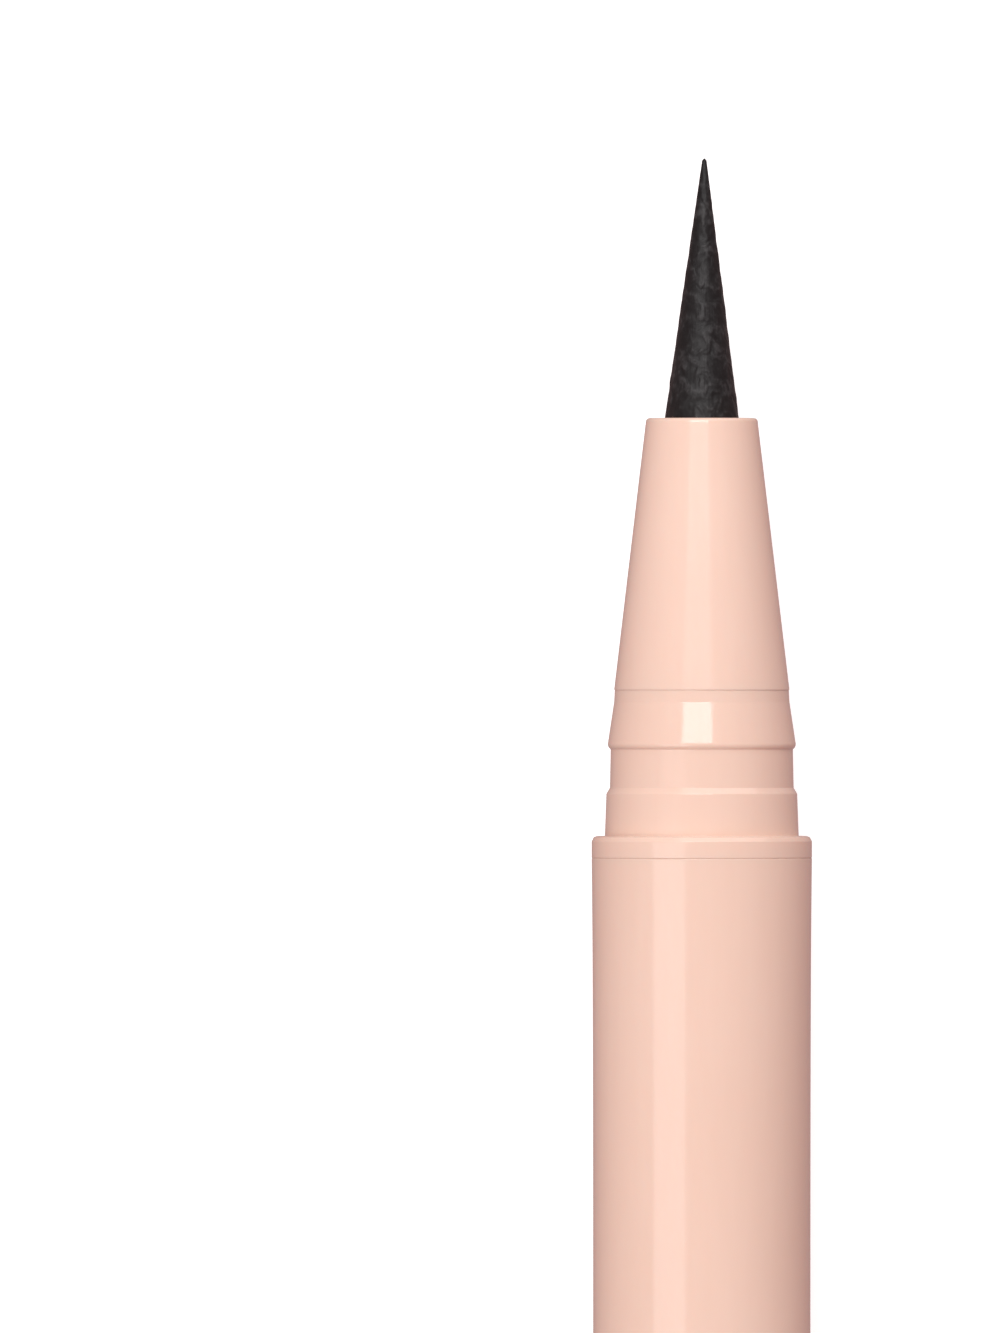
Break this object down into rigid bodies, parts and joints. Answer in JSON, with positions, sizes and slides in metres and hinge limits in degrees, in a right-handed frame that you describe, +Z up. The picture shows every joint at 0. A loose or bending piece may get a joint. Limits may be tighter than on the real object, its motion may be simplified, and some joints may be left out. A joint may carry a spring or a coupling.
{
  "type": "liquid eyeliner pen",
  "caption": "Slim round liquid eyeliner pen with a pointed fibre tip, stepped snap neck, ink tank with finned collector and mixing ball, and a pull-off cap lying in line.",
  "frame": {"origin": "on the table under the middle of the open pen and its cap", "axes": "+Y along the pen's axis towards the tip, +Z up from the table"},
  "size_m": [0.01, 0.18, 0.01],
  "materials": {
    "peach_plastic": "glossy moulded plastic",
    "liner_plastic": "natural milky plastic",
    "nib_fibre": "black bonded fibre",
    "feed_fibre": "ink-soaked bonded fibre",
    "seal_rubber": "soft rubber",
    "ball_steel": "polished steel"
  },
  "bodies": {
    "pen": {"barrel": "peach_plastic", "neck_coupling": "peach_plastic", "nozzle_cone": "peach_plastic", "nib": "nib_fibre", "nib_holder": "liner_plastic", "feed_core": "feed_fibre", "collector": "liner_plastic", "collector_ring": "seal_rubber", "ink_tank": "liner_plastic", "tail_plug": "peach_plastic", "tail_ring": "seal_rubber"},
    "cap": {"cap_shell": "peach_plastic", "inner_cap": "liner_plastic"},
    "ball": {"mixing_ball": "ball_steel"}
  },
  "joints": [
    {"name": "cap_slide", "type": "slide", "parent": "pen", "child": "cap", "axis": [0, 1, 0], "range_m": [-0.04597, 0]},
    {"name": "ball_roll", "type": "slide", "parent": "pen", "child": "ball", "axis": [0, 1, 0], "range_m": [0, 0.0609]}
  ]
}
